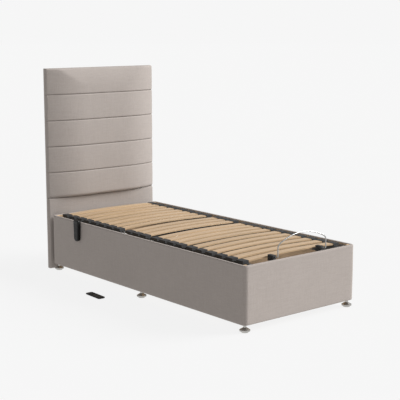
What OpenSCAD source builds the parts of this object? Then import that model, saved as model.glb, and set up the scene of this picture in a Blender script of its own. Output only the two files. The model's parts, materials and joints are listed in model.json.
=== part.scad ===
// Adjustable single bed base: fabric covered box, four-section slatted deck with a twin drive,
// padded floor-standing headboard and two handsets. All lengths are millimetres.
// X runs across the bed, Y along it with the head end at +Y, Z up from the floor.

/* [Base box] */
// Outer width of the fabric covered box
box_w = 900; // [880:5:940]
// Outer length of the box
box_l = 2000; // [1980:5:2040]
// Height of the box from its lower edge to the rim
box_h = 343; // [338:1:360]
// Clear height under the box, set by the glides
glide_h = 44; // [40:1:60]
// Thickness of the side and end boards
board_t = 18; // [15:1:20]
// Radius of the four upright corners, cover included
corner_r = 28; // [20:1:34]

/* [Deck sections] */
// Length of the back section, hinge to head end
back_len = 722; // [700:1:740]
// Length of the fixed seat section, hinge to hinge
seat_len = 300; // [296:1:304]
// Length of the thigh section, hinge to knee
thigh_len = 340; // [335:1:350]
// Width of one slat
slat_w = 53; // [40:1:56]
// Thickness of one slat
slat_t = 8; // [6:0.5:9]
// Height of the crown in the middle of a slat
slat_crown = 10; // [6:1:12]

/* [Retainer bar] */
// Distance between the two legs of the bar
bar_span = 390; // [360:5:460]
// Height of the top of the bar above the floor
bar_top = 528; // [500:1:560]
// Radius of the bar
bar_r = 3.5; // [3:0.5:6]

/* [Headboard] */
// Width of the headboard
board_w = 905; // [880:5:940]
// Height of the headboard above the floor
board_h = 1400; // [1300:5:1450]
// Height of one padded channel
channel_h = 180; // [160:1:190]
// Number of padded channels, counted from the top
channel_n = 5; // [4:1:6]

/* [Handsets] */
// Width of the hung handset at its top
hand_w = 56; // [52:1:60]
// Thickness of the hung handset
hand_t = 22; // [20:1:26]
// Width of the slim handset
slim_w = 50; // [46:1:56]
// Length of the slim handset
slim_l = 162; // [150:1:170]

/* [Hidden] */
$fn = 48;
// Shift that puts the middle of the whole row over the origin
row_x = 101;
row_y = -31;

// Box
skin_t = 2;
half_w = box_w / 2;
half_l = box_l / 2;
z_low = glide_h;
z_rim = glide_h + box_h;
in_x = half_w - skin_t - board_t;
in_y = half_l - skin_t - board_t;
post = 40;
post_x = half_w - skin_t - post;
post_y = half_l - skin_t - post;
batten_w = 45;
batten_h = 22;
outlet_r = 10;

// Steel frame
rail_w = 30;
rail_h = 40;
rail_x = in_x - rail_w;
rail_top = z_rim - 37;
rail_low = rail_top - rail_h;
rail_end = post_y - 1;
cross_h = 30;
cross_w = 30;
cross_low = rail_low;
pivot_z = rail_top + 12;
fit = 0.05;
gap = 0.3;

// Section tubes
tube_w = 25;
tube_h = 30;
tube_in = rail_x - 55;
tube_out = tube_in + tube_w;
tube_low = pivot_z - tube_h / 2;
tube_top = pivot_z + tube_h / 2;
tube_wall = 2;

// Hinge lines along the bed
deck_end = half_l - 28;
y_back = deck_end - back_len;
y_thigh = y_back - seat_len;
y_knee = y_thigh - thigh_len;
roller_y = -deck_end + 32;
torsion_r = 15;
journal_r = 8;
bush_r = 11;
knee_r = 6;

// Slats
slat_half = 385;
slat_top = tube_top + 23;
slat_r = (slat_half * slat_half + slat_crown * slat_crown) / (2 * slat_crown);
slat_low = slat_top - slat_crown - slat_t;
back_slats_n = 8;
back_slat_y = y_back + 50;
back_pitch = (deck_end - 47 - back_slat_y) / (back_slats_n - 1);
seat_slats_n = 3;
seat_slat_y = y_thigh + 70;
seat_pitch = (seat_len - 140) / (seat_slats_n - 1);
thigh_slats_n = 4;
thigh_slat_y = y_thigh - 48;
thigh_pitch = (thigh_len - 96) / (thigh_slats_n - 1);
calf_slats_n = 6;
calf_slat_y = y_knee - 50;
calf_pitch = (deck_end - 82 + calf_slat_y) / (calf_slats_n - 1);

// Twin drive
lever_l = 95;
lever_w = 14;
tip_r = 10;
back_lever_a = 32.5;
thigh_lever_a = 20;
lever_gap = 1.6;
spindle_z = pivot_z - 122;
spindle_r = 8;
nut_l = 30;
nut_w = 40;
nut_top = pivot_z - 79;
nut_low = spindle_z - 16;
house_x = 36;
house_low = spindle_z - 32;
house_split = spindle_z + 15;
house_top = pivot_z - 62;
house_t = 3;
house_y0 = y_thigh - 72;
house_y1 = y_back + 72;
block_x = 136;
block_top = spindle_z + 35;
block_y0 = y_thigh + 64;
block_y1 = y_back - 87;
head_motor_y = y_back - 118;
foot_motor_y = y_thigh + 95;
motor_r = 26;
cap_y = 22;

// Headboard
head_back = half_l + 65;
panel_t = 18;
pad_front = half_l + 3.5;
panel_front = head_back - panel_t;
roll_w = 100;
roll_r = 190;
channel_front = half_l - 28;
channel_roll_w = 260;
channel_roll_r = 593;
seam_in = 8;
strut_x = 300;
strut_w = 60;
strut_z0 = 90;
strut_z1 = 370;
bolt_z = [150, 290];
bolt_r = 4;
rail_bolt_y = [-850, -300, 450, 850];

// Handset, drawn with its back on z = 0 and its top towards +y
hand_l = 146;
hand_split = hand_t / 2;
hand_wall = 2;
button_r = 7.5;
button_pos = [[-11, 108], [11, 108], [-11, 82], [11, 82]];
hook_z = z_rim + 2;
hook_t = 2.5;
peg_r = 5;
peg_y = 124;
hung_y = 662;
hung_x = -(half_w + 2.3 + hook_t + gap);
hung_z = hook_z + 15 - hand_l;

// Slim handset
slim_t = 8;
slim_split = 3.6;
slim_wall = 1.4;
slim_r = 11;
slim_button_r = 6;
slim_button_pos = [[-11, 126], [11, 126], [-11, 104], [11, 104]];
floor_pos = [-631, 131, 0];
floor_turn = -2.5;

// Solid between two corners
module box_at(x0, x1, y0, y1, z0, z1) {
    translate([x0, y0, z0]) cube([x1 - x0, y1 - y0, z1 - z0]);
}

// Rod along X
module rod_x(x0, x1, y, z, r) {
    translate([x0, y, z]) rotate([0, 90, 0]) cylinder(r = r, h = x1 - x0);
}

// Rod along Y
module rod_y(x, y0, y1, z, r) {
    translate([x, y0, z]) rotate([-90, 0, 0]) cylinder(r = r, h = y1 - y0);
}

// Rod along Z
module rod_z(x, y, z0, z1, r) {
    translate([x, y, z0]) cylinder(r = r, h = z1 - z0);
}

// Children on the right side and mirrored on the left
module both_sides() {
    children();
    mirror([1, 0, 0]) children();
}

// Whole row in its shared frame
module row() {
    translate([row_x, row_y, 0]) children();
}

// Rectangular tube along Y, open at both ends
module tube_y(x0, x1, y0, y1, z0, z1) {
    difference() {
        box_at(x0, x1, y0, y1, z0, z1);
        box_at(x0 + tube_wall, x1 - tube_wall, y0 - 1, y1 + 1, z0 + tube_wall, z1 - tube_wall);
    }
}

// Rectangular tube along X, open at both ends
module tube_x(x0, x1, y0, y1, z0, z1) {
    difference() {
        box_at(x0, x1, y0, y1, z0, z1);
        box_at(x0 - 1, x1 + 1, y0 + tube_wall, y1 - tube_wall, z0 + tube_wall, z1 - tube_wall);
    }
}

// Solid rectangle with rounded upright corners
module rounded_slab(hx, hy, r, z0, z1) {
    box_at(-hx + r, hx - r, -hy, hy, z0, z1);
    box_at(-hx, hx, -hy + r, hy - r, z0, z1);
    for (sx = [-1, 1]) {
        for (sy = [-1, 1]) {
            rod_z(sx * (hx - r), sy * (hy - r), z0, z1, r);
        }
    }
}

// Holes for the rail bolts of both sides
module rail_bolt_holes() {
    for (y = rail_bolt_y) {
        rod_x(-in_x - 16, in_x + 16, y, rail_top - rail_h / 2, bolt_r);
    }
}

// Holes for the headboard bolts
module headboard_bolt_holes() {
    for (x = [-strut_x, strut_x]) {
        for (z = bolt_z) {
            rod_y(x, in_y - 2, head_back - 3, z, bolt_r);
        }
    }
}

// Side board of the box on the right
module side_board() {
    difference() {
        box_at(in_x, half_w - skin_t, -post_y, post_y, z_low + 2, z_rim - 2);
        rail_bolt_holes();
    }
}

module side_board_right() {
    color("burlywood") row() side_board();
}

module side_board_left() {
    color("burlywood") row() mirror([1, 0, 0]) side_board();
}

module foot_end_board() {
    color("burlywood") row()
        box_at(-post_x, post_x, -half_l + skin_t, -in_y, z_low + 2, z_rim - 2);
}

module head_end_board() {
    color("burlywood") row() difference() {
        box_at(-post_x, post_x, in_y, half_l - skin_t, z_low + 2, z_rim - 2);
        headboard_bolt_holes();
    }
}

// Post in the corner at +x +y with its outer edge rounded
module corner_post() {
    r = corner_r - skin_t;
    x1 = half_w - skin_t;
    y1 = half_l - skin_t;
    difference() {
        union() {
            box_at(post_x, x1 - r, post_y, y1, z_low + 2, z_rim - 2);
            box_at(post_x, x1, post_y, y1 - r, z_low + 2, z_rim - 2);
            intersection() {
                rod_z(x1 - r, y1 - r, z_low + 2, z_rim - 2, r);
                box_at(post_x, x1, post_y, y1, z_low, z_rim);
            }
        }
        rod_z(half_w - 31, half_l - 31, z_low, z_low + 24, bolt_r);
    }
}

module corner_posts() {
    color("burlywood") row() both_sides() {
        corner_post();
        mirror([0, 1, 0]) corner_post();
    }
}

// Battens round the lower edge, inside the boards
module bottom_battens() {
    z0 = z_low + 2;
    z1 = z0 + batten_h;
    batten_end = in_x - batten_w - 1;
    color("burlywood") row() {
        both_sides() difference() {
            box_at(in_x - batten_w, in_x, -post_y, post_y, z0, z1);
            rod_z(half_w - 31, 0, z_low, z_low + 24, bolt_r);
        }
        difference() {
            for (s = [0, 1]) {
                mirror([0, s, 0])
                    box_at(-batten_end, batten_end, in_y - batten_w, in_y, z0, z1);
            }
            rod_z(0, in_y - batten_w / 2, z0 - 1, z1 + 1, outlet_r);
        }
    }
}

// Woven cover stretched round the box and turned over the rim in a rolled edge
module fabric_cover() {
    h = z_rim - z_low;
    color("rosybrown") row() difference() {
        union() {
            rounded_slab(half_w, half_l, corner_r, z_low, z_rim);
            rounded_slab(half_w + 2, half_l + 2, corner_r + 2, z_rim - 4, z_rim + 2);
        }
        rounded_slab(half_w - skin_t, half_l - skin_t, corner_r - skin_t, z_low - 1, z_rim - 2);
        rounded_slab(half_w - 4, half_l - 4, corner_r - 4, z_rim, z_rim + 3);
        box_at(-in_x, in_x, -in_y, in_y, z_low, z_rim + 4);
        headboard_bolt_holes();
    }
}

// One turned metal glide with its threaded stem
module glide(x, y) {
    rod_z(x, y, 0, 5, 20);
    rod_z(x, y, 4, 8, 24);
    rod_z(x, y, 8, 15, 31);
    translate([x, y, 15]) cylinder(r1 = 31, r2 = 9, h = 14);
    rod_z(x, y, 28, z_low + 2, 9);
    rod_z(x, y, z_low, z_low + 24, bolt_r);
}

module glides() {
    gx = half_w - 31;
    gy = half_l - 31;
    color("silver") row() {
        for (x = [-gx, gx]) {
            for (y = [-gy, 0, gy]) {
                glide(x, y);
            }
        }
    }
}

// Side rail on the right, a rectangular steel tube
module side_rail() {
    difference() {
        tube_y(rail_x, in_x, -rail_end, rail_end, rail_low, rail_top);
        rail_bolt_holes();
    }
}

module side_rail_right() {
    color("dimgray") row() side_rail();
}

module side_rail_left() {
    color("dimgray") row() mirror([1, 0, 0]) side_rail();
}

// Steel cross rails welded between the side rails
module cross_rails() {
    ys = [-deck_end + 47, y_knee - 40, y_back + 350, deck_end - 47];
    color("dimgray") row() {
        for (y = ys) {
            tube_x(-rail_x, rail_x, y - cross_w / 2, y + cross_w / 2, cross_low, cross_low + cross_h);
        }
    }
}

// Hexagon headed bolts of the rails and of the headboard
module bolts() {
    z = rail_top - rail_h / 2;
    color("gainsboro") row() {
        both_sides() {
            for (y = rail_bolt_y) {
                rod_x(rail_x - 1, in_x + 16, y, z, bolt_r);
                translate([rail_x - 6, y, z]) rotate([0, 90, 0]) cylinder(r = 7.5, h = 6, $fn = 6);
            }
        }
        for (x = [-strut_x, strut_x]) {
            for (zb = bolt_z) {
                rod_y(x, in_y - 1, head_back - 3, zb, bolt_r);
                translate([x, in_y - 6, zb]) rotate([-90, 0, 0]) cylinder(r = 7.5, h = 6, $fn = 6);
            }
        }
    }
}

// Bracket plate on the inner face of a rail, with the hinge bore
module hinge_bracket(y) {
    difference() {
        union() {
            box_at(rail_x - 8, rail_x, y - 20, y + 20, rail_low - 5, pivot_z);
            rod_x(rail_x - 8, rail_x, y, pivot_z, 20);
        }
        rod_x(rail_x - 9, rail_x + 1, y, pivot_z, bush_r);
    }
}

module hinge_brackets() {
    color("dimgray") row() both_sides() {
        hinge_bracket(y_back);
        hinge_bracket(y_thigh);
    }
}

// Nylon bush pressed into a bracket
module hinge_bush(y) {
    difference() {
        union() {
            rod_x(rail_x - 9, rail_x + 1, y, pivot_z, bush_r);
            rod_x(rail_x - 10.5, rail_x - 8, y, pivot_z, bush_r + 3);
        }
        rod_x(rail_x - 12, rail_x + 2, y, pivot_z, journal_r + fit);
    }
}

module hinge_bushes() {
    color("ivory") row() both_sides() {
        hinge_bush(y_back);
        hinge_bush(y_thigh);
    }
}

// Rubber pads the section tubes rest on when the deck is flat
module stop_pads() {
    z0 = cross_low + cross_h;
    color("black") row() both_sides() {
        rod_z((tube_in + tube_out) / 2, deck_end - 47, z0, tube_low - gap, 11);
        rod_z((tube_in + tube_out) / 2, y_knee - 40, z0, tube_low - gap, 11);
    }
}

// One crowned slat with its middle at y
module slat(y) {
    intersection() {
        translate([0, y - slat_w / 2, slat_top - slat_r]) rotate([-90, 0, 0]) difference() {
            cylinder(r = slat_r, h = slat_w, $fn = 720);
            translate([0, 0, -1]) cylinder(r = slat_r - slat_t, h = slat_w + 2, $fn = 720);
        }
        box_at(-slat_half, slat_half, y - slat_w, y + slat_w, slat_low - 1, slat_top + 1);
    }
}

// Pair of moulded holders for the ends of the slat at y
module slat_holder(y) {
    both_sides() difference() {
        box_at(tube_in + 2, slat_half + 6, y - slat_w / 2 - 3, y + slat_w / 2 + 3,
            tube_top, slat_top - 6);
        box_at(tube_in, slat_half + 0.3, y - slat_w / 2 - 0.3, y + slat_w / 2 + 0.3,
            slat_low, slat_top - 7.5);
    }
}

module seat_slats() {
    color("tan") row() for (i = [0 : seat_slats_n - 1]) slat(seat_slat_y + i * seat_pitch);
}

module seat_slat_holders() {
    color("black") row() for (i = [0 : seat_slats_n - 1]) slat_holder(seat_slat_y + i * seat_pitch);
}

module back_slats() {
    color("tan") row() for (i = [0 : back_slats_n - 1]) slat(back_slat_y + i * back_pitch);
}

module back_slat_holders() {
    color("black") row() for (i = [0 : back_slats_n - 1]) slat_holder(back_slat_y + i * back_pitch);
}

module thigh_slats() {
    color("tan") row() for (i = [0 : thigh_slats_n - 1]) slat(thigh_slat_y - i * thigh_pitch);
}

module thigh_slat_holders() {
    color("black") row()
        for (i = [0 : thigh_slats_n - 1]) slat_holder(thigh_slat_y - i * thigh_pitch);
}

module calf_slats() {
    color("tan") row() for (i = [0 : calf_slats_n - 1]) slat(calf_slat_y - i * calf_pitch);
}

module calf_slat_holders() {
    color("black") row()
        for (i = [0 : calf_slats_n - 1]) slat_holder(calf_slat_y - i * calf_pitch);
}

// Side tubes on two cross tubes that are welded to the rails
module seat_frame() {
    color("dimgray") row() {
        both_sides() tube_y(tube_in, tube_out, y_thigh + 30, y_back - 30, tube_low, tube_top);
        for (y = [y_thigh + 80, y_back - 80]) {
            tube_x(-rail_x, rail_x, y - 12, y + 12, tube_low - 25, tube_low);
        }
    }
}

module back_frame() {
    color("slategray") row() {
        both_sides() difference() {
            tube_y(tube_in, tube_out, y_back, deck_end, tube_low, tube_top);
            rod_x(tube_in - 1, tube_out + 1, y_back, pivot_z, torsion_r);
        }
        for (y = [y_back + 330, deck_end - 13]) {
            tube_x(-tube_in, tube_in, y - 12, y + 12, tube_low, tube_top - 4);
        }
    }
}

// Torsion tube along X with journals, a hub and a lever that leans by a
module torsion_tube(y, a) {
    difference() {
        union() {
            rod_x(-tube_out, tube_out, y, pivot_z, torsion_r);
            rod_x(-lever_w / 2 - 6, lever_w / 2 + 6, y, pivot_z, torsion_r + 5);
        }
        rod_x(-tube_out + 8, tube_out - 8, y, pivot_z, torsion_r - 2.5);
    }
    rod_x(-rail_x - 1.5, -tube_out + 2, y, pivot_z, journal_r);
    rod_x(tube_out - 2, rail_x + 1.5, y, pivot_z, journal_r);
    translate([0, y, pivot_z]) rotate([a, 0, 0]) {
        box_at(-lever_w / 2, lever_w / 2, -lever_w / 2, lever_w / 2, -lever_l, -torsion_r + 1);
        rod_x(-lever_w / 2 - 2, lever_w / 2 + 2, 0, -lever_l, tip_r);
    }
}

module back_torsion_tube() {
    color("gray") row() torsion_tube(y_back, -back_lever_a);
}

module thigh_torsion_tube() {
    color("gray") row() torsion_tube(y_thigh, thigh_lever_a);
}

// Thigh side tubes with an ear at the knee
module thigh_frame() {
    y1 = y_knee + 18;
    color("slategray") row() {
        both_sides() {
            difference() {
                tube_y(tube_in, tube_out, y1, y_thigh, tube_low, tube_top);
                rod_x(tube_in - 1, tube_out + 1, y_thigh, pivot_z, torsion_r);
            }
            difference() {
                union() {
                    box_at(tube_in - 8, tube_in, y_knee, y1 + 42, pivot_z - 13, pivot_z + 13);
                    rod_x(tube_in - 8, tube_in, y_knee, pivot_z, 13);
                }
                rod_x(tube_in - 9, tube_in + 1, y_knee, pivot_z, knee_r + fit);
            }
        }
        tube_x(-tube_in, tube_in, y1 + 46, y1 + 70, tube_low, tube_top - 4);
    }
}

// Calf side tubes with the inner knee ear, end tube and roller axles
module calf_frame() {
    y0 = y_knee - 18;
    color("slategray") row() {
        both_sides() {
            tube_y(tube_in, tube_out, -deck_end, y0, tube_low, tube_top);
            difference() {
                union() {
                    box_at(tube_in - 16.3, tube_in - 8.3, y0 - 42, y_knee, pivot_z - 13, pivot_z + 13);
                    rod_x(tube_in - 16.3, tube_in - 8.3, y_knee, pivot_z, 13);
                    box_at(tube_in - 16.3, tube_in, y0 - 42, y0 - 4, pivot_z - 13, pivot_z + 13);
                }
                rod_x(tube_in - 18, tube_in, y_knee, pivot_z, knee_r);
            }
            rod_x(tube_out - 2, rail_x + 25, roller_y, pivot_z, 6);
            rod_x(tube_out, rail_x + 3.5, roller_y, pivot_z, 9);
            rod_x(rail_x + 24.5, rail_x + 27, roller_y, pivot_z, 9);
        }
        for (y = [-deck_end + 13, y_knee - 190]) {
            tube_x(-tube_in, tube_in, y - 12, y + 12, tube_low, tube_top - 4);
        }
    }
}

module knee_pins() {
    color("gainsboro") row() both_sides() {
        rod_x(tube_in - 16.3, tube_in + 1, y_knee, pivot_z, knee_r);
        rod_x(tube_in - 19, tube_in - 16.3, y_knee, pivot_z, knee_r + 3);
    }
}

// Plastic roller at the foot end, running on the rail
module end_roller() {
    difference() {
        rod_x(rail_x + 4, rail_x + 24, roller_y, pivot_z, 12 - gap);
        rod_x(rail_x + 3, rail_x + 25, roller_y, pivot_z, 6 + fit);
    }
}

module end_roller_right() {
    color("ivory") row() end_roller();
}

module end_roller_left() {
    color("ivory") row() mirror([1, 0, 0]) end_roller();
}

// Bent part of a rod in the plane x z, from angle a0 to a1 about a centre
module bend(cx, cz, radius, a0, a1) {
    translate([cx, 0, cz]) rotate([90, 0, 0]) rotate([0, 0, a0])
        rotate_extrude(angle = a1 - a0) translate([radius, 0]) circle(r = bar_r);
}

// Arched wire bar that keeps the mattress from sliding off the foot end
module retainer_bar() {
    leg_x = bar_span / 2;
    y_leg = -deck_end - 24;
    z_run = slat_top - 2;
    low_r = 12;
    fillet = 30;
    arch_r = 374;
    arch_z = bar_top - bar_r - arch_r;
    side_z = arch_z + sqrt((arch_r - fillet) * (arch_r - fillet) - (leg_x - fillet) * (leg_x - fillet));
    lean = asin((leg_x - fillet) / (arch_r - fillet));
    color("silver") row() {
        translate([0, y_leg, 0]) bend(0, arch_z, arch_r, 90 - lean, 90 + lean);
        both_sides() {
            translate([0, y_leg, 0]) bend(leg_x - fillet, side_z, fillet, 0, 89.95 - lean);
            rod_z(leg_x, y_leg, z_run + low_r, side_z, bar_r);
            translate([leg_x, y_leg + low_r, z_run + low_r]) rotate([0, 0, 90])
                bend(0, 0, low_r, 180, 270);
            rod_y(leg_x, y_leg + low_r, -deck_end + 44, z_run, bar_r);
        }
    }
}

// Blocks on the calf end tube that clamp the two ends of the bar
module bar_sockets() {
    z_run = slat_top - 2;
    color("black") row() both_sides() difference() {
        box_at(bar_span / 2 - 12, bar_span / 2 + 12, -deck_end + 4, -deck_end + 48,
            tube_top - 4, z_run + 10);
        rod_y(bar_span / 2, -deck_end, -deck_end + 44, z_run, bar_r);
    }
}

// Outer form of the drive housing between two heights
module drive_form(z0, z1, zb, t) {
    box_at(-house_x + t, house_x - t, house_y0 + t, house_y1 - t, z0, z1);
    box_at(-block_x + t, block_x - t, block_y0 + t, block_y1 - t, z0, min(z1, zb));
}

module drive_housing_lower() {
    color("dimgray") row() difference() {
        union() {
            difference() {
                drive_form(house_low, house_split, block_top, 0);
                drive_form(house_low + house_t, house_split + 1, house_split + 1, house_t);
            }
            box_at(-14, 14, house_y1 - 26, house_y1 - 2, house_low + 1, spindle_z + 12);
            box_at(-14, 14, house_y0 + 2, house_y0 + 22, house_low + 1, spindle_z + 12);
        }
        rod_y(0, y_thigh - 62, y_back + 60, spindle_z, spindle_r + fit);
    }
}

module drive_housing_upper() {
    color("dimgray") row() difference() {
        union() {
            difference() {
                drive_form(house_split, house_top, block_top, 0);
                drive_form(house_split - 1, house_top - house_t, block_top - house_t, house_t);
            }
            for (y = [y_back, y_thigh]) {
                both_sides() box_at(20, 34, y - cap_y, y + cap_y, house_top - 1, pivot_z);
            }
        }
        box_at(-11, 11, y_back - 52, y_back + 52, house_top - 5, house_top + 1);
        box_at(-11, 11, y_thigh - 36, y_thigh + 36, house_top - 5, house_top + 1);
        rod_x(-40, 40, y_back, pivot_z, torsion_r + fit);
        rod_x(-40, 40, y_thigh, pivot_z, torsion_r + fit);
    }
}

// Upper halves of the saddles that hang the drive from the torsion tubes
module drive_tube_caps() {
    color("black") row() both_sides() {
        for (y = [y_back, y_thigh]) {
            difference() {
                box_at(20, 34, y - cap_y, y + cap_y, pivot_z, pivot_z + 21);
                rod_x(19, 35, y, pivot_z, torsion_r + fit);
            }
        }
    }
}

// Motor with its gear case; the spindle leaves the case on one side
module motor(y, s) {
    rod_x(s > 0 ? 20 : -block_x + 8, s > 0 ? block_x - 8 : -20, y, spindle_z, motor_r);
    box_at(-24, 24, y - 17, y + 18, house_low + house_t, spindle_z + 22);
}

module drive_motors() {
    color("darkgray") row() difference() {
        union() {
            motor(head_motor_y, 1);
            motor(foot_motor_y, -1);
        }
        rod_y(0, head_motor_y + 6, head_motor_y + 20, spindle_z, spindle_r + fit);
        rod_y(0, foot_motor_y - 20, foot_motor_y - 6, spindle_z, spindle_r + fit);
    }
}

// Two-pin inlet on the side of the drive for a loose mains lead
module mains_inlet() {
    y = (block_y0 + block_y1) / 2;
    z = spindle_z;
    color("black") row() {
        difference() {
            box_at(block_x, block_x + 16, y - 14, y + 14, z - 12, z + 12);
            box_at(block_x + 4, block_x + 17, y - 10, y + 10, z - 7, z + 7);
        }
        for (s = [-1, 1]) {
            rod_x(block_x + 3, block_x + 13, y + 4.5 * s, z, 1.3);
        }
    }
}

module head_spindle() {
    color("gainsboro") row() {
        rod_y(0, head_motor_y + 6.5, house_y1 - 12.5, spindle_z, spindle_r);
    }
}

module foot_spindle() {
    color("gainsboro") row() {
        rod_y(0, house_y0 + 10.5, foot_motor_y - 6.5, spindle_z, spindle_r);
    }
}

// Travelling nut whose face pushes a lever; y0 and y1 are its two ends
module drive_nut(y0, y1) {
    difference() {
        box_at(-nut_w / 2, nut_w / 2, y0, y1, nut_low, nut_top);
        rod_y(0, y0 - 1, y1 + 1, spindle_z, spindle_r + fit);
    }
}

module head_drive_nut() {
    face = y_back - lever_l * sin(back_lever_a) - tip_r - lever_gap;
    color("orange") row() drive_nut(face - nut_l, face);
}

module foot_drive_nut() {
    face = y_thigh + lever_l * sin(thigh_lever_a) + tip_r + lever_gap;
    color("orange") row() drive_nut(face, face + nut_l);
}

module headboard_panel() {
    color("rosybrown") row() difference() {
        box_at(-board_w / 2, board_w / 2, panel_front, head_back, 0, board_h);
        headboard_bolt_holes();
    }
}

// Padded block whose front rolls back over a width w, on a radius r, towards both ends
module rolled_block(y0, z0, z1, w, r) {
    hx = board_w / 2;
    intersection() {
        box_at(-hx, hx, y0, panel_front, z0, z1);
        union() {
            box_at(-hx + w, hx - w, y0, panel_front, z0, z1);
            both_sides() translate([hx - w, y0 + r, z0])
                cylinder(r = r, h = z1 - z0, $fn = 720);
        }
    }
}

module headboard_lower_pad() {
    color("rosybrown") row() difference() {
        rolled_block(pad_front, 0, board_h - channel_n * channel_h, roll_w, roll_r);
        headboard_bolt_holes();
        for (x = [-strut_x, strut_x]) {
            box_at(x - strut_w / 2 - 0.2, x + strut_w / 2 + 0.2, half_l, panel_front + 1,
                strut_z0 - 0.2, strut_z1 + 0.2);
        }
    }
}

// One deep padded channel, drawn in along its upper and lower seam
module channel(z0, z1) {
    rolled_block(channel_front + seam_in, z0, z1, channel_roll_w, channel_roll_r);
    rolled_block(channel_front, z0 + 3, z1 - 3, channel_roll_w, channel_roll_r);
}

module headboard_channels() {
    color("rosybrown") row() {
        for (i = [0 : channel_n - 1]) {
            channel(board_h - (i + 1) * channel_h + 0.2, board_h - i * channel_h);
        }
    }
}

// Timber spacers that take the bolt load between the box and the panel
module headboard_struts() {
    color("burlywood") row() difference() {
        for (x = [-strut_x, strut_x]) {
            box_at(x - strut_w / 2, x + strut_w / 2, half_l, panel_front, strut_z0, strut_z1);
        }
        headboard_bolt_holes();
    }
}

// Outline of the hung handset, drawn in by inset
module hand_outline(inset) {
    top = hand_w / 2 - inset;
    translate([0, 25]) circle(r = 24 - inset);
    polygon([[-24 + inset, 25], [24 - inset, 25], [top, hand_l - 12],
        [-top, hand_l - 12]]);
    for (s = [-1, 1]) {
        translate([s * (hand_w / 2 - 12), hand_l - 12]) circle(r = 12 - inset);
    }
    translate([-hand_w / 2 + 12, hand_l - 32]) square([hand_w - 24, 32 - inset]);
}

// Back shell of the hung handset with the hole for the peg
module hand_back() {
    difference() {
        linear_extrude(height = hand_split) hand_outline(0);
        translate([0, 0, hand_wall]) linear_extrude(height = hand_split) hand_outline(hand_wall);
        rod_z(0, peg_y, -1, hand_wall + 1, peg_r + gap);
    }
}

// Front shell with a stepped edge and the button holes
module hand_front() {
    difference() {
        union() {
            translate([0, 0, hand_split]) linear_extrude(height = hand_split - 3) hand_outline(0);
            translate([0, 0, hand_t - 4]) linear_extrude(height = 2.5) hand_outline(1);
            translate([0, 0, hand_t - 2]) linear_extrude(height = 2) hand_outline(2.5);
        }
        translate([0, 0, hand_split - 1])
            linear_extrude(height = hand_split - 1) hand_outline(hand_wall + 1.5);
        for (p = button_pos) {
            rod_z(p[0], p[1], hand_split, hand_t + 1, button_r + gap);
        }
    }
}

// Button i with the inner flange that keeps it in the shell
module hand_button(i) {
    p = button_pos[i];
    rod_z(p[0], p[1], hand_t - 4.3, hand_t + 1.2, button_r);
    rod_z(p[0], p[1], hand_t - 4.3, hand_t - 2.3, button_r + 1.3);
}

// Outline of the slim handset, drawn in by inset
module slim_outline(inset) {
    hx = slim_w / 2 - inset;
    r = slim_r - inset;
    translate([-hx + r, inset]) square([2 * (hx - r), slim_l - 2 * inset]);
    translate([-hx, inset + r]) square([2 * hx, slim_l - 2 * inset - 2 * r]);
    for (x = [-hx + r, hx - r]) {
        for (y = [inset + r, slim_l - inset - r]) {
            translate([x, y]) circle(r = r);
        }
    }
}

module slim_back() {
    difference() {
        union() {
            linear_extrude(height = 1) slim_outline(1);
            translate([0, 0, 1]) linear_extrude(height = slim_split - 1) slim_outline(0);
        }
        translate([0, 0, slim_wall]) linear_extrude(height = slim_split) slim_outline(slim_wall);
    }
}

module slim_front() {
    difference() {
        union() {
            translate([0, 0, slim_split])
                linear_extrude(height = slim_t - 1 - slim_split) slim_outline(0);
            translate([0, 0, slim_t - 1.5]) linear_extrude(height = 1.5) slim_outline(1);
        }
        translate([0, 0, slim_split - 1])
            linear_extrude(height = slim_t - slim_split - 0.6) slim_outline(slim_wall + 0.6);
        for (p = slim_button_pos) {
            rod_z(p[0], p[1], slim_split, slim_t + 1, slim_button_r + gap);
        }
    }
}

module slim_button(i) {
    p = slim_button_pos[i];
    rod_z(p[0], p[1], slim_t - 3.1, slim_t + 1, slim_button_r);
    rod_z(p[0], p[1], slim_t - 3.1, slim_t - 1.9, slim_button_r + 1.2);
}

// Handset placed on the side of the box, front facing -x and top up
module hung() {
    row() translate([hung_x, hung_y, hung_z]) rotate([90, 0, -90]) children();
}

// Handset placed flat on the floor beside the box
module laid() {
    row() translate(floor_pos) rotate([0, 0, floor_turn]) children();
}

// Clip over the rim with the peg the handset hangs on
module handset_hook() {
    x_in = -in_x + gap;
    x_out = -half_w - 2.3;
    peg_z = hung_z + peg_y;
    color("black") row() {
        box_at(x_in, x_in + 2.5, hung_y - 12, hung_y + 12, rail_top + 6, hook_z + hook_t);
        box_at(x_out - hook_t, x_in + 2.5, hung_y - 12, hung_y + 12, hook_z, hook_z + hook_t);
        box_at(x_out - hook_t, x_out, hung_y - 12, hung_y + 12, peg_z - 10, hook_z + hook_t);
        rod_x(x_out - hook_t - 6, x_out - hook_t, hung_y, peg_z, peg_r);
    }
}

module hung_handset_back() {
    color("dimgray") hung() hand_back();
}

module hung_handset_front() {
    color("darkslategray") hung() hand_front();
}

module hung_button_1() {
    color("gray") hung() hand_button(0);
}

module hung_button_2() {
    color("gray") hung() hand_button(1);
}

module hung_button_3() {
    color("gray") hung() hand_button(2);
}

module hung_button_4() {
    color("gray") hung() hand_button(3);
}

module floor_handset_back() {
    color("dimgray") laid() slim_back();
}

module floor_handset_front() {
    color("darkslategray") laid() slim_front();
}

module floor_button_1() {
    color("gray") laid() slim_button(0);
}

module floor_button_2() {
    color("gray") laid() slim_button(1);
}

module floor_button_3() {
    color("gray") laid() slim_button(2);
}

module floor_button_4() {
    color("gray") laid() slim_button(3);
}

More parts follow.
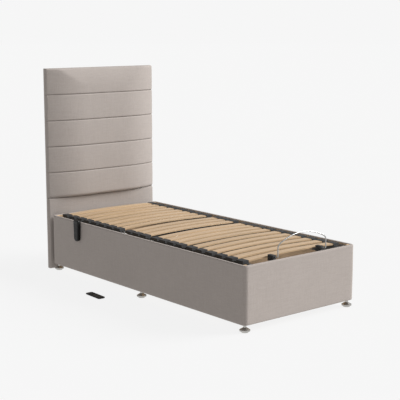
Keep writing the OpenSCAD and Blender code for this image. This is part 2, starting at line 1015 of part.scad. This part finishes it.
side_board_left();
side_board_right();
foot_end_board();
head_end_board();
corner_posts();
bottom_battens();
fabric_cover();
glides();
side_rail_left();
side_rail_right();
cross_rails();
bolts();
hinge_brackets();
hinge_bushes();
stop_pads();
seat_frame();
seat_slats();
seat_slat_holders();
back_frame();
back_torsion_tube();
back_slats();
back_slat_holders();
thigh_frame();
thigh_torsion_tube();
thigh_slats();
thigh_slat_holders();
calf_frame();
calf_slats();
calf_slat_holders();
knee_pins();
retainer_bar();
bar_sockets();
end_roller_left();
end_roller_right();
drive_housing_lower();
drive_housing_upper();
drive_tube_caps();
drive_motors();
mains_inlet();
head_spindle();
foot_spindle();
head_drive_nut();
foot_drive_nut();
headboard_panel();
headboard_lower_pad();
headboard_channels();
headboard_struts();
handset_hook();
hung_handset_back();
hung_handset_front();
hung_button_1();
hung_button_2();
hung_button_3();
hung_button_4();
floor_handset_back();
floor_handset_front();
floor_button_1();
floor_button_2();
floor_button_3();
floor_button_4();
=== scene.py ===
"""Looks of the adjustable bed base: upholstery, timber, steel, plastics, stage, light, camera."""

import json
import math

import bpy
from mathutils import Matrix, Vector, noise


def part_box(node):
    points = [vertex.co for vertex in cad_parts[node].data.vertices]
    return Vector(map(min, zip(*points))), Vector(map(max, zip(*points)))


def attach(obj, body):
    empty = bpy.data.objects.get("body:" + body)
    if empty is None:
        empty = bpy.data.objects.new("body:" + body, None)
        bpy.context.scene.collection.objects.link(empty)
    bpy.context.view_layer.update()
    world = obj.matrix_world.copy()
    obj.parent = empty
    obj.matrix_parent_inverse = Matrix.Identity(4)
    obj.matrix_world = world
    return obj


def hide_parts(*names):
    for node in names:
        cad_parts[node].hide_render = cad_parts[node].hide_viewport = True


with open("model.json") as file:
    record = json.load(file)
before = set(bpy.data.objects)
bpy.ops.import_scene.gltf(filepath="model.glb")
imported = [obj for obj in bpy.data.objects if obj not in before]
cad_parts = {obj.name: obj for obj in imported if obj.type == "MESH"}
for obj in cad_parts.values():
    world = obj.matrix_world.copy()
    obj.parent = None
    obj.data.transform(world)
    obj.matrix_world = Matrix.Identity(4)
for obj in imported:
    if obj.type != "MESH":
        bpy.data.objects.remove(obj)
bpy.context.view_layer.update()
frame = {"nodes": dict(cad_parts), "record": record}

# The bed's own middle stands at this point of the frame
BED_X = 0.101
BED_Y = -0.031


# ---------------------------------------------------------------- node material helpers
def new_mat(name):
    """Empty material with one Principled shader: the material, its tree and the shader."""
    m = bpy.data.materials.new(name)
    m.use_nodes = True
    nt = m.node_tree
    for n in list(nt.nodes):
        nt.nodes.remove(n)
    out = nt.nodes.new("ShaderNodeOutputMaterial")
    b = nt.nodes.new("ShaderNodeBsdfPrincipled")
    nt.links.new(b.outputs[0], out.inputs[0])
    return m, nt, b


def coords(nt, scale=(1, 1, 1)):
    """Object coordinates in metres, stretched by scale."""
    tc = nt.nodes.new("ShaderNodeTexCoord")
    mp = nt.nodes.new("ShaderNodeMapping")
    mp.inputs["Scale"].default_value = scale
    nt.links.new(tc.outputs["Object"], mp.inputs[0])
    return mp.outputs[0]


def noise_tex(nt, vec, scale, detail=4.0, rough=0.55):
    """Noise texture; its features are about 1 / scale metres across."""
    n = nt.nodes.new("ShaderNodeTexNoise")
    n.inputs["Scale"].default_value = scale
    n.inputs["Detail"].default_value = detail
    n.inputs["Roughness"].default_value = rough
    nt.links.new(vec, n.inputs["Vector"])
    return n.outputs[0]


def ramp(nt, fac, stops):
    """Colour ramp through (position, colour) stops."""
    r = nt.nodes.new("ShaderNodeValToRGB")
    e = r.color_ramp.elements
    while len(e) < len(stops):
        e.new(0.5)
    for el, (p, c) in zip(e, stops):
        el.position = p
        el.color = (c[0], c[1], c[2], 1.0)
    nt.links.new(fac, r.inputs[0])
    return r.outputs[0]


def math_node(nt, op, *values):
    """Math node on sockets or plain numbers."""
    m = nt.nodes.new("ShaderNodeMath")
    m.operation = op
    for i, v in enumerate(values):
        if isinstance(v, (int, float)):
            m.inputs[i].default_value = v
        else:
            nt.links.new(v, m.inputs[i])
    return m.outputs[0]


def weighted_sum(nt, *pairs):
    """Sum of (socket, weight) pairs."""
    terms = [math_node(nt, "MULTIPLY", socket, weight) for socket, weight in pairs]
    total = terms[0]
    for term in terms[1:]:
        total = math_node(nt, "ADD", total, term)
    return total


def bump(nt, bsdf, height, strength, distance):
    """Fine relief from a height texture; distance is its depth in metres."""
    b = nt.nodes.new("ShaderNodeBump")
    b.inputs["Strength"].default_value = strength
    b.inputs["Distance"].default_value = distance
    nt.links.new(height, b.inputs["Height"])
    nt.links.new(b.outputs[0], bsdf.inputs["Normal"])


def rough_range(nt, bsdf, fac, low, high):
    """Roughness that varies between low and high with a texture."""
    r = ramp(nt, fac, [(0.3, (low, low, low)), (0.7, (high, high, high))])
    nt.links.new(r, bsdf.inputs["Roughness"])


def shade(c, k):
    """A colour made k times as bright."""
    return tuple(min(1.0, v * k) for v in c)


# ---------------------------------------------------------------- materials
# Upholstery cloth: distance between threads in metres, and how far its tone varies
THREAD_PITCH = 0.0016
MOTTLE = 0.055
# Slub threads: stretched along the thread, fine across it
SLUB_LONG = 14
SLUB_FINE = 420


def woven(name, color):
    """Plain weave: warp and weft bands, slub threads and a soft mottle."""
    m, nt, b = new_mat(name)
    # across-the-wall coordinate (x + y) and the upright one, so both faces show threads
    sep = nt.nodes.new("ShaderNodeSeparateXYZ")
    nt.links.new(coords(nt), sep.inputs[0])
    along = math_node(nt, "ADD", sep.outputs[0], sep.outputs[1])
    k = 2 * math.pi / THREAD_PITCH
    warp = math_node(nt, "SINE", math_node(nt, "MULTIPLY", along, k))
    weft = math_node(nt, "SINE", math_node(nt, "MULTIPLY", sep.outputs[2], k))
    weave = math_node(nt, "MULTIPLY", warp, weft)
    fine = noise_tex(nt, coords(nt), 900.0, 3.0)
    slub_h = noise_tex(nt, coords(nt, (SLUB_LONG, SLUB_LONG, SLUB_FINE)), 1.0, 3.0)
    slub_v = noise_tex(nt, coords(nt, (SLUB_FINE, SLUB_FINE, SLUB_LONG)), 1.0, 3.0)
    cloud = noise_tex(nt, coords(nt), 9.0, 4.0)
    mid = noise_tex(nt, coords(nt), 120.0, 4.0)
    mix = weighted_sum(nt, (slub_h, 0.34), (slub_v, 0.34), (mid, 0.24), (cloud, 0.08))
    col = ramp(nt, mix, [
        (0.36, shade(color, 1 - 1.6 * MOTTLE)), (0.47, shade(color, 1 - 0.5 * MOTTLE)),
        (0.54, shade(color, 1 + 0.5 * MOTTLE)), (0.66, shade(color, 1 + 1.6 * MOTTLE))])
    nt.links.new(col, b.inputs["Base Color"])
    b.inputs["Roughness"].default_value = 0.92
    b.inputs["Sheen Weight"].default_value = 0.15
    b.inputs["Sheen Roughness"].default_value = 0.5
    b.inputs["Sheen Tint"].default_value = (0.95, 0.90, 0.86, 1)
    b.inputs["Specular IOR Level"].default_value = 0.15
    bump(nt, b, weighted_sum(nt, (weave, 0.25), (fine, 0.25), (mix, 0.5)), 0.32, 0.0009)
    return m


def timber(name, color, grain, shine):
    """Wood with year rings, pores and a slow drift of tone; grain gives its scale on each axis."""
    m, nt, b = new_mat(name)
    rings = noise_tex(nt, coords(nt, grain), 1.0, 5.0, 0.6)
    pores = noise_tex(nt, coords(nt, tuple(6 * g for g in grain)), 1.0, 3.0)
    tone = noise_tex(nt, coords(nt, (0.6, 5, 5)), 1.0, 2.0)
    mix = weighted_sum(nt, (rings, 0.55), (pores, 0.2), (tone, 0.25))
    col = ramp(nt, mix, [
        (0.30, shade(color, 0.60)), (0.45, shade(color, 0.86)),
        (0.55, color), (0.70, shade(color, 1.18))])
    nt.links.new(col, b.inputs["Base Color"])
    rough_range(nt, b, pores, shine - 0.1, shine + 0.12)
    bump(nt, b, mix, 0.25, 0.0006)
    return m


def plastic(name, color, rough, grain=1400.0, depth=0.00012, wear=0.06, gloss=0.5):
    """Moulded plastic or rubber: fine grain, and smudges in colour and gloss."""
    m, nt, b = new_mat(name)
    b.inputs["Specular IOR Level"].default_value = gloss
    tex = noise_tex(nt, coords(nt), grain, 2.0)
    smudge = noise_tex(nt, coords(nt), 22.0, 4.0)
    col = ramp(nt, smudge, [(0.35, shade(color, 1 - wear)), (0.7, shade(color, 1 + 2 * wear))])
    nt.links.new(col, b.inputs["Base Color"])
    rough_range(nt, b, smudge, rough - 0.07, rough + 0.09)
    bump(nt, b, tex, 0.35, depth)
    return m


def metal(name, color, rough, brushed, wear=0.12):
    """Bare metal with brush lines, whose scale on each axis is given, and dull patches."""
    m, nt, b = new_mat(name)
    lines = noise_tex(nt, coords(nt, brushed), 1.0, 4.0)
    patch = noise_tex(nt, coords(nt), 16.0, 4.0)
    mix = weighted_sum(nt, (lines, 0.5), (patch, 0.5))
    col = ramp(nt, mix, [(0.35, shade(color, 1 - wear)), (0.65, shade(color, 1 + wear))])
    nt.links.new(col, b.inputs["Base Color"])
    b.inputs["Metallic"].default_value = 1.0
    rough_range(nt, b, mix, rough - 0.06, rough + 0.1)
    bump(nt, b, lines, 0.2, 0.0002)
    return m


def painted(name, color, rough):
    """Powder coat: orange-peel bump over a faintly uneven colour."""
    m, nt, b = new_mat(name)
    peel = noise_tex(nt, coords(nt), 520.0, 2.0)
    dust = noise_tex(nt, coords(nt), 11.0, 5.0)
    col = ramp(nt, dust, [(0.35, shade(color, 0.85)), (0.6, color), (0.8, shade(color, 1.5))])
    nt.links.new(col, b.inputs["Base Color"])
    rough_range(nt, b, dust, rough - 0.05, rough + 0.16)
    bump(nt, b, peel, 0.3, 0.00018)
    return m


TAUPE = (0.317, 0.280, 0.257)
PAD_TAUPE = (0.330, 0.294, 0.272)
mats = {
    "cover_fabric": woven("taupe_weave", TAUPE),
    "pad_fabric": woven("taupe_weave_pad", PAD_TAUPE),
    "timber": timber("planed_board", (0.56, 0.40, 0.25), (4, 4, 70), 0.6),
    "beech": timber("beech_slat", (0.52, 0.365, 0.22), (2.2, 90, 90), 0.36),
    "frame_steel": painted("dark_powder_coat", (0.035, 0.036, 0.038), 0.42),
    "bare_steel": metal("zinc_steel", (0.58, 0.58, 0.57), 0.3, (8, 300, 300)),
    "glide_metal": metal("satin_nickel", (0.46, 0.45, 0.425), 0.26, (30, 30, 400)),
    "bar_steel": metal("plated_wire", (0.40, 0.40, 0.395), 0.28, (60, 60, 60), 0.05),
    "holder_rubber": plastic("moulded_rubber", (0.022, 0.022, 0.023), 0.66, 700.0, 0.0002),
    "nylon": plastic("natural_nylon", (0.72, 0.70, 0.64), 0.5),
    "drive_plastic": plastic("drive_plastic", (0.030, 0.031, 0.033), 0.5, 900.0, 0.0003, 0.1),
    "motor_metal": painted("motor_enamel", (0.16, 0.16, 0.165), 0.35),
    "nut_plastic": plastic("acetal", (0.66, 0.63, 0.55), 0.4),
    "hand_shell": plastic("hand_shell", (0.006, 0.0059, 0.0055), 0.5, 1600.0, 0.00015, 0.1, 0.22),
    "hand_front": plastic("hand_front", (0.006, 0.0060, 0.0057), 0.36, 1600.0, 0.00006, 0.12, 0.24),
    "button_rubber": plastic("key_rubber", (0.035, 0.035, 0.036), 0.62, 1200.0, 0.0001, 0.06, 0.3),
    "hook_plastic": plastic("hook_plastic", (0.016, 0.016, 0.016), 0.5),
}

node_slot = {s["node"]: s["material_slot"] for s in frame["record"]["subparts"]}
for node, obj in frame["nodes"].items():
    obj.data.materials.clear()
    obj.data.materials.append(mats[node_slot[node]])

# Width of the small rounded arrises on the CAD pieces that stay visible
arrises = {
    "glides": 0.0012, "hung_handset_back": 0.0014, "floor_handset_back": 0.0014,
    "handset_hook": 0.0006, "bolts": 0.0006, "mains_inlet": 0.0008,
    "drive_housing_lower": 0.002, "drive_housing_upper": 0.002, "drive_tube_caps": 0.002,
    "side_rail_left": 0.002, "side_rail_right": 0.002, "cross_rails": 0.002,
    "bar_sockets": 0.002,
}
for section in ("seat", "back", "thigh", "calf"):
    arrises[section + "_frame"] = 0.002
    arrises[section + "_slats"] = 0.002
    arrises[section + "_slat_holders"] = 0.0015
for node in frame["nodes"]:
    if "_button_" in node:
        arrises[node] = 0.0008
for node, width in arrises.items():
    mod = frame["nodes"][node].modifiers.new("arris", "BEVEL")
    mod.width = width
    mod.segments = 2
    mod.limit_method = "ANGLE"
    mod.angle_limit = math.radians(40)


# ---------------------------------------------------------------- mesh helpers
def smooth(obj):
    """Smooth shading on every face."""
    for p in obj.data.polygons:
        p.use_smooth = True


def make(name, verts, faces, material):
    """Smooth-shaded mesh object."""
    me = bpy.data.meshes.new(name)
    me.from_pydata(verts, [], faces)
    me.update()
    me.materials.append(material)
    o = bpy.data.objects.new(name, me)
    bpy.context.collection.objects.link(o)
    smooth(o)
    return o


def arc(cx, cy, r, start, turn, steps):
    """Points along a circular arc; start and turn are in degrees."""
    angles = [math.radians(start + turn * k / steps) for k in range(steps + 1)]
    return [(cx + r * math.cos(a), cy + r * math.sin(a)) for a in angles]


def rounded_path(hx, hy, r, per_corner=10, per_side=36):
    """Closed path round a rectangle with rounded corners: list of (point, outward normal)."""
    pts = []
    corners = [(hx - r, hy - r, 0), (-hx + r, hy - r, 90),
               (-hx + r, -hy + r, 180), (hx - r, -hy + r, 270)]
    for i, (cx, cy, a0) in enumerate(corners):
        for k in range(per_corner + 1):
            a = math.radians(a0 + 90.0 * k / per_corner)
            n = Vector((math.cos(a), math.sin(a), 0))
            pts.append((Vector((cx, cy, 0)) + n * r, n))
        nx, ny, na = corners[(i + 1) % len(corners)]
        a = math.radians(na)
        n = Vector((math.cos(a), math.sin(a), 0))
        start = pts[-1][0]
        end = Vector((nx, ny, 0)) + n * r
        for k in range(1, per_side):
            pts.append((start.lerp(end, k / per_side), n))
    return pts


def sweep(name, path, profile, material, wobble):
    """Sweeps an open profile of (outward, height) pairs round a closed path, unevenly by wobble."""
    m = len(profile)
    verts = []
    for p, n in path:
        for off, z in profile:
            q = Vector((p.x + n.x * off, p.y + n.y * off, z))
            s = noise.noise(q * 7.0) + 0.5 * noise.noise(q * 23.0)
            q += n * (wobble * s)
            verts.append((q.x + BED_X, q.y + BED_Y, q.z))
    faces = []
    count = len(path)
    for i in range(count):
        a, b = i * m, ((i + 1) % count) * m
        for j in range(m - 1):
            faces.append((a + j, b + j, b + j + 1, a + j + 1))
    return make(name, verts, faces, material)


# ---------------------------------------------------------------- box cover
# How far the CAD cover's rim stands proud of its walls, and the radius of its upright corners
RIM_PROUD = 0.002
CORNER = 0.028
cover_lo, cover_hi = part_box("fabric_cover")
HALF_W = (cover_hi.x - cover_lo.x) / 2 - RIM_PROUD
HALF_L = (cover_hi.y - cover_lo.y) / 2 - RIM_PROUD
Z_LOW = cover_lo.z
Z_RIM = cover_hi.z - RIM_PROUD
# The wall between the hem and the rim, bowed out a little between them
WALL_LOW = Z_LOW + 0.012
WALL_HIGH = Z_RIM - 0.022
WALL_BOW = 0.0008
WALL_ROWS = 14

# Each part of the profile is a list of (outward, height) pairs, from below upwards and inwards
hem = [(-0.030, Z_LOW + 0.0025), (-0.012, Z_LOW + 0.0010), (-0.0045, Z_LOW + 0.0006),
       (-0.0018, Z_LOW + 0.0018), (-0.0006, Z_LOW + 0.005)]
wall = [(WALL_BOW * math.sin(math.pi * k / WALL_ROWS),
         WALL_LOW + k / WALL_ROWS * (WALL_HIGH - WALL_LOW)) for k in range(WALL_ROWS + 1)]
rim = [(0.0002, Z_RIM - 0.0150), (0.0005, Z_RIM - 0.0080), (0.0001, Z_RIM - 0.0040),
       (-0.0018, Z_RIM - 0.0008), (-0.0050, Z_RIM + 0.0010), (-0.0100, Z_RIM + 0.0012),
       (-0.0160, Z_RIM + 0.0004), (-0.0192, Z_RIM - 0.0020), (-0.0200, Z_RIM - 0.0120),
       (-0.0200, Z_RIM - 0.0300)]
cover = sweep("divan_cover", rounded_path(HALF_W, HALF_L, CORNER), hem + wall + rim,
              mats["cover_fabric"], wobble=0.0005)
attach(cover, "base")
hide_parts("fabric_cover")


# ---------------------------------------------------------------- headboard
ch_lo, ch_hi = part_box("headboard_channels")
pad_lo, pad_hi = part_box("headboard_lower_pad")
pan_lo, pan_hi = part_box("headboard_panel")
BOARD_HX = (ch_hi.x - ch_lo.x) / 2
BOARD_X = (ch_hi.x + ch_lo.x) / 2
CHANNELS = 5
PITCH = (ch_hi.z - ch_lo.z) / CHANNELS
# Back of the padding, and where its front meets the side band
BACK_Y = pad_hi.y
EDGE_Y = BACK_Y - 0.015
EDGE_ROUND = 0.006
# How far the top channel rolls back, over what height, and the radius of its top edge
TOP_DEPTH = 0.026
TOP_FALL = 0.14
TOP_ROUND = 0.012
# How far from a side edge the padding starts to roll back, and how sharply
CHANNEL_ROLL = (0.30, 2.2)
PAD_ROLL = (0.27, 2.4)
# Radius of the padding where it turns into a seam, and under the lowest channel
SEAM_ROUND = 0.009
LOWEST_ROUND = 0.022
# Depth of the crown between two seams, of the puckers at a seam and of the uneven filling
CROWN = 0.0016
PUCKER = 0.0005
UNEVEN = 0.0006
# How far the puckers run out of a seam, and how far from a side edge the surface stays calm
PUCKER_REACH = 0.018
CALM_EDGE = 0.03
# The padding is nowhere thinner than this
LEAST_DEPTH = 0.006
# Side band of the padding: share of its depth, and how far the edge seam draws it in
SEAM_ROWS = [(0.20, 0.0), (0.30, 0.0028), (0.42, 0.0030), (0.52, 0.0), (1.0, 0.0)]
# Mesh columns of every strip, and mesh rows of a channel and of the lower pad
COLUMNS = 130
CHANNEL_ROWS = 44
PAD_ROWS = 60
# How far each channel stops short of its seams, the lower pad of its ends, and the top channel
# of the top of the board
SLIT = 0.0004
PAD_SLIT = 0.0006
TOP_SLIT = 0.0010


def ease(depth, distance, roll):
    """How far a surface has fallen back, given the distance to the edge it falls towards."""
    reach, power = roll
    return depth * max(0.0, 1 - distance / reach) ** power


def crease(distance, radius):
    """Quarter-round fall into a seam or over an edge."""
    if distance >= radius:
        return 0.0
    t = min(1.0, 1 - distance / radius)
    return radius * (1 - math.sqrt(1 - t * t))


def greater(a, b):
    """The larger of two falls, with a soft mitre where they meet."""
    return (a + b + math.hypot(a - b, 0.2 * min(a, b))) / 2


def padded_front(name, front_y, z0, z1, roll, rows, is_top=False, low_round=SEAM_ROUND):
    """Foam-filled upholstered strip, drawn in at its seams and rolled back at the board's edges."""
    verts, faces = [], []
    depth = EDGE_Y - front_y - EDGE_ROUND
    for i in range(COLUMNS + 1):
        # denser near the two ends, where the surface turns
        u = -math.cos(math.pi * i / COLUMNS)
        x = BOARD_X + BOARD_HX * u
        side = (1 - abs(u)) * BOARD_HX
        for j in range(rows + 1):
            w = -math.cos(math.pi * j / rows)
            z = (z0 + z1) / 2 + (z1 - z0) / 2 * w
            below, above = z - z0, z1 - z
            back = ease(depth, side, roll)
            if is_top:
                back = greater(back, ease(TOP_DEPTH, above, (TOP_FALL, roll[1])))
            y = front_y + back + crease(side, EDGE_ROUND)
            y += crease(below, low_round)
            y += crease(above, TOP_ROUND if is_top else SEAM_ROUND)
            # soft crown between seams, and small puckers that run out of each seam
            y += CROWN * w * w
            near = math.exp(-min(below, above) / PUCKER_REACH)
            inner = min(1.0, side / CALM_EDGE)
            y += inner * PUCKER * near * noise.noise(Vector((x * 30, z0 * 9, z * 4)))
            y += inner * UNEVEN * noise.noise(Vector((x * 4, z * 11, 3.0)))
            verts.append((x, min(y, BACK_Y - LEAST_DEPTH), z))
    row = rows + 1
    for i in range(COLUMNS):
        for j in range(rows):
            a = i * row + j
            faces.append((a, a + row, a + row + 1, a + 1))
    # skirt back to the panel on all four sides, and a flat back
    edge = [i * row for i in range(COLUMNS + 1)]
    edge += [COLUMNS * row + j for j in range(1, rows + 1)]
    edge += [i * row + rows for i in range(COLUMNS - 1, -1, -1)]
    edge += [j for j in range(rows - 1, 0, -1)]
    n = len(edge)
    last = edge
    for share, inset in SEAM_ROWS:
        ring = range(len(verts), len(verts) + n)
        for r in edge:
            x, y, z = verts[r]
            if abs(x - BOARD_X) > BOARD_HX - 1e-5:
                x -= math.copysign(inset, x - BOARD_X)
            if is_top and z > z1 - 1e-5:
                z -= inset
            verts.append((x, y + share * (BACK_Y - y), z))
        for k in range(n):
            k2 = (k + 1) % n
            faces.append((last[k2], last[k], ring[k], ring[k2]))
        last = ring
    faces.append(tuple(last))
    o = make(name, verts, faces, mats["pad_fabric"])
    for p in o.data.polygons[COLUMNS * rows:]:
        p.use_smooth = False
    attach(o, "base")
    return o


for c in range(CHANNELS):
    top, lowest = c == 0, c == CHANNELS - 1
    z1 = ch_hi.z - c * PITCH - (TOP_SLIT if top else 0.0)
    z0 = ch_hi.z - (c + 1) * PITCH
    strip = padded_front("channel_%d" % (c + 1), ch_lo.y, z0 + SLIT, z1 - SLIT, CHANNEL_ROLL,
                         CHANNEL_ROWS, is_top=top,
                         low_round=LOWEST_ROUND if lowest else SEAM_ROUND)
    # the CAD node that holds all of them is hidden along with the first channel
    if top:
        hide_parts("headboard_channels")

lower = padded_front("lower_pad", pad_lo.y, pad_lo.z + PAD_SLIT, pad_hi.z - PAD_SLIT, PAD_ROLL,
                     PAD_ROWS)
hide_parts("headboard_lower_pad")


def soft_box(name, lo, hi, r, material):
    """Box between two corners with all its edges rounded."""
    bpy.ops.mesh.primitive_cube_add(size=1)
    o = bpy.context.object
    o.name = name
    o.data.name = name
    o.scale = (hi.x - lo.x, hi.y - lo.y, hi.z - lo.z)
    o.location = (lo + hi) / 2
    bpy.ops.object.transform_apply(location=True, rotation=False, scale=True)
    mod = o.modifiers.new("edge", "BEVEL")
    mod.width = r
    mod.segments = 4
    o.data.materials.append(material)
    smooth(o)
    return o


# Fabric-wrapped back board: how far its front is let into the padding, and its top kept down
LET_IN = 0.004
TOP_DROP = 0.0005
WRAP_ROUND = 0.004
panel = soft_box("board_wrap", Vector((pan_lo.x, BACK_Y - LET_IN, pan_lo.z)),
                 Vector((pan_hi.x, pan_hi.y, pan_hi.z - TOP_DROP)), WRAP_ROUND, mats["pad_fabric"])
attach(panel, "base")
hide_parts("headboard_panel")


# ---------------------------------------------------------------- handset fronts
# Hung handset: half width, length, radius and middle of its round lower end, upper corner radius
HUNG_HX = 0.028
HUNG_L = 0.146
HUNG_END_R = 0.024
HUNG_END_Y = 0.025
HUNG_CORNER = 0.012
# Floor handset: half width, length and corner radius
SLIM_HX = 0.025
SLIM_L = 0.162
SLIM_CORNER = 0.011


def hung_outline(inset):
    """Closed outline of the hung handset in its own plane, drawn in by inset."""
    r = HUNG_CORNER - inset
    cx, cy = HUNG_HX - HUNG_CORNER, HUNG_L - HUNG_CORNER
    return (arc(0.0, HUNG_END_Y, HUNG_END_R - inset, -180, 180.0, 14)
            + arc(cx, cy, r, 0, 90.0, 7) + arc(-cx, cy, r, 90, 90.0, 7))


def slim_outline(inset):
    """Closed outline of the floor handset in its own plane, drawn in by inset."""
    r = SLIM_CORNER - inset
    cx, y0, y1 = SLIM_HX - SLIM_CORNER, SLIM_CORNER, SLIM_L - SLIM_CORNER
    return (arc(-cx, y0, r, 180, 90.0, 7) + arc(cx, y0, r, 270, 90.0, 7)
            + arc(cx, y1, r, 0, 90.0, 7) + arc(-cx, y1, r, 90, 90.0, 7))


# Rounded edge of each front shell: how far it is drawn in, and its height above the back
HUNG_RINGS = [(0.0, 0.0112), (0.0, 0.0150), (0.0006, 0.0178), (0.0020, 0.0200), (0.0042, 0.0214),
              (0.0075, 0.0220)]
SLIM_RINGS = [(0.0, 0.0037), (0.0, 0.0052), (0.0004, 0.0066), (0.0012, 0.0075), (0.0028, 0.0080)]
# Middles of the keys, and the radius of the ring round each
HUNG_KEYS = [(-0.011, 0.108), (0.011, 0.108), (-0.011, 0.082), (0.011, 0.082)]
SLIM_KEYS = [(-0.011, 0.126), (0.011, 0.126), (-0.011, 0.104), (0.011, 0.104)]
HUNG_RING_R = 0.0079
SLIM_RING_R = 0.0064
RING_WIRE = 0.0005


def handset_front(name, place, shape, rings, node, body):
    """Front shell of a handset, closed by a flat face and a flat back."""
    outlines = [shape(inset) for inset, z in rings]
    count = len(outlines[0])
    verts = [tuple(place @ Vector((x, y, z)))
             for outline, (inset, z) in zip(outlines, rings) for x, y in outline]
    faces = []
    for i in range(len(rings) - 1):
        a, b = i * count, (i + 1) * count
        for k in range(count):
            k2 = (k + 1) % count
            faces.append((a + k, a + k2, b + k2, b + k))
    top = (len(rings) - 1) * count
    faces.append(tuple(top + k for k in range(count)))
    faces.append(tuple(reversed(range(count))))
    o = make(name, verts, faces, mats["hand_front"])
    for p in o.data.polygons[-2:]:
        p.use_smooth = False
    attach(o, body)
    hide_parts(node)


def key_ring(name, place, centre, r, body):
    """Thin raised ring round a key."""
    bpy.ops.mesh.primitive_torus_add(major_radius=r, minor_radius=RING_WIRE,
                                     major_segments=36, minor_segments=8)
    o = bpy.context.object
    o.name = name
    o.data.transform(place @ Matrix.Translation(centre))
    o.data.materials.append(mats["hand_shell"])
    smooth(o)
    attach(o, body)


# The hung handset's own x runs along -Y, its length up and its face towards -X
hung_lo, hung_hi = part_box("hung_handset_back")
HUNG_AXES = Matrix(((0, 0, -1, 0), (-1, 0, 0, 0), (0, 1, 0, 0), (0, 0, 0, 1)))
HUNG_AT = Vector((hung_hi.x, (hung_lo.y + hung_hi.y) / 2, hung_lo.z + HUNG_END_R - HUNG_END_Y))
# The floor handset lies beside the bed, turned a little
FLOOR_AT = Vector((BED_X - 0.631, BED_Y + 0.131, 0.0))
FLOOR_TURN = math.radians(-2.5)
hung_place = Matrix.Translation(HUNG_AT) @ HUNG_AXES
floor_place = Matrix.Translation(FLOOR_AT) @ Matrix.Rotation(FLOOR_TURN, 4, "Z")
for tag, place, shape, rings, keys, ring_r in (
        ("hung", hung_place, hung_outline, HUNG_RINGS, HUNG_KEYS, HUNG_RING_R),
        ("floor", floor_place, slim_outline, SLIM_RINGS, SLIM_KEYS, SLIM_RING_R)):
    body = tag + "_handset"
    handset_front(tag + "_front_shell", place, shape, rings, tag + "_handset_front", body)
    for i, (kx, ky) in enumerate(keys):
        key_ring("%s_key_ring_%d" % (tag, i + 1), place, (kx, ky, rings[-1][1]), ring_r, body)


# ---------------------------------------------------------------- stage, light and camera
FLOOR_SIZE = 160
FLOOR_DROP = 0.0005
FLOOR_TONES = (0.049, 0.051)
FLOOR_GLOW = 0.86
DOME_RADIUS = 75
BACKDROP = (0.922, 0.922, 0.922, 1)
SKY_STRENGTH = 0.46
# Soft key light from the bed's right: directions are clockwise from +Y, and up from the floor
KEY_TURN = 118
KEY_RISE = 30
KEY_STRENGTH = 5.3
KEY_SOFTNESS = 34
KEY_AWAY = 6
LENS = 93.16
CAMERA_AT = (-4.0877, -5.1416, 1.7166)
CAMERA_TURN = 39.739
CAMERA_RISE = -9.784


def heading(turn, rise):
    """Unit vector at turn degrees clockwise from +Y and rise degrees above the floor."""
    t, r = math.radians(turn), math.radians(rise)
    return Vector((math.sin(t) * math.cos(r), math.cos(t) * math.cos(r), math.sin(r)))


floor_mat, nt, b = new_mat("pale_floor")
tone = noise_tex(nt, coords(nt), 3.0, 3.0)
floor_ramp = ramp(nt, tone, [(0.3, (FLOOR_TONES[0],) * 3), (0.7, (FLOOR_TONES[1],) * 3)])
nt.links.new(floor_ramp, b.inputs["Base Color"])
b.inputs["Roughness"].default_value = 0.9
b.inputs["Specular IOR Level"].default_value = 0.0
b.inputs["Emission Color"].default_value = (1, 1, 1, 1)
b.inputs["Emission Strength"].default_value = FLOOR_GLOW
bpy.ops.mesh.primitive_plane_add(size=FLOOR_SIZE, location=(0, 0, -FLOOR_DROP))
floor = bpy.context.object
floor.name = "stage_floor"
floor.data.materials.append(floor_mat)

# Pale backdrop dome: seen by the camera, lights nothing
dome_mat = bpy.data.materials.new("pale_backdrop")
dome_mat.use_nodes = True
nt = dome_mat.node_tree
for n in list(nt.nodes):
    nt.nodes.remove(n)
glow = nt.nodes.new("ShaderNodeEmission")
glow.inputs[0].default_value = BACKDROP
dome_out = nt.nodes.new("ShaderNodeOutputMaterial")
nt.links.new(glow.outputs[0], dome_out.inputs[0])
bpy.ops.mesh.primitive_uv_sphere_add(segments=48, ring_count=24, radius=DOME_RADIUS)
dome = bpy.context.object
dome.name = "stage_dome"
dome.data.materials.append(dome_mat)
for flag in ("diffuse", "glossy", "transmission", "volume_scatter", "shadow"):
    setattr(dome, "visible_" + flag, False)

world = bpy.data.worlds.new("studio")
bpy.context.scene.world = world
world.use_nodes = True
sky = world.node_tree.nodes["Background"]
sky.inputs[0].default_value = (1.0, 1.0, 1.0, 1)
sky.inputs[1].default_value = SKY_STRENGTH

key_data = bpy.data.lights.new("key", "SUN")
key_data.energy = KEY_STRENGTH
key_data.angle = math.radians(KEY_SOFTNESS)
key = bpy.data.objects.new("key", key_data)
key_way = heading(KEY_TURN, KEY_RISE)
key.rotation_euler = key_way.to_track_quat("Z", "Y").to_euler()
key.location = key_way * KEY_AWAY
bpy.context.collection.objects.link(key)
bpy.context.scene.view_settings.view_transform = "Standard"

cam_data = bpy.data.cameras.new("camera")
cam_data.lens = LENS
cam_data.sensor_width = 36.0
cam = bpy.data.objects.new("camera", cam_data)
cam.location = CAMERA_AT
cam.rotation_euler = heading(CAMERA_TURN, CAMERA_RISE).to_track_quat("-Z", "Y").to_euler()
bpy.context.collection.objects.link(cam)
bpy.context.scene.camera = cam

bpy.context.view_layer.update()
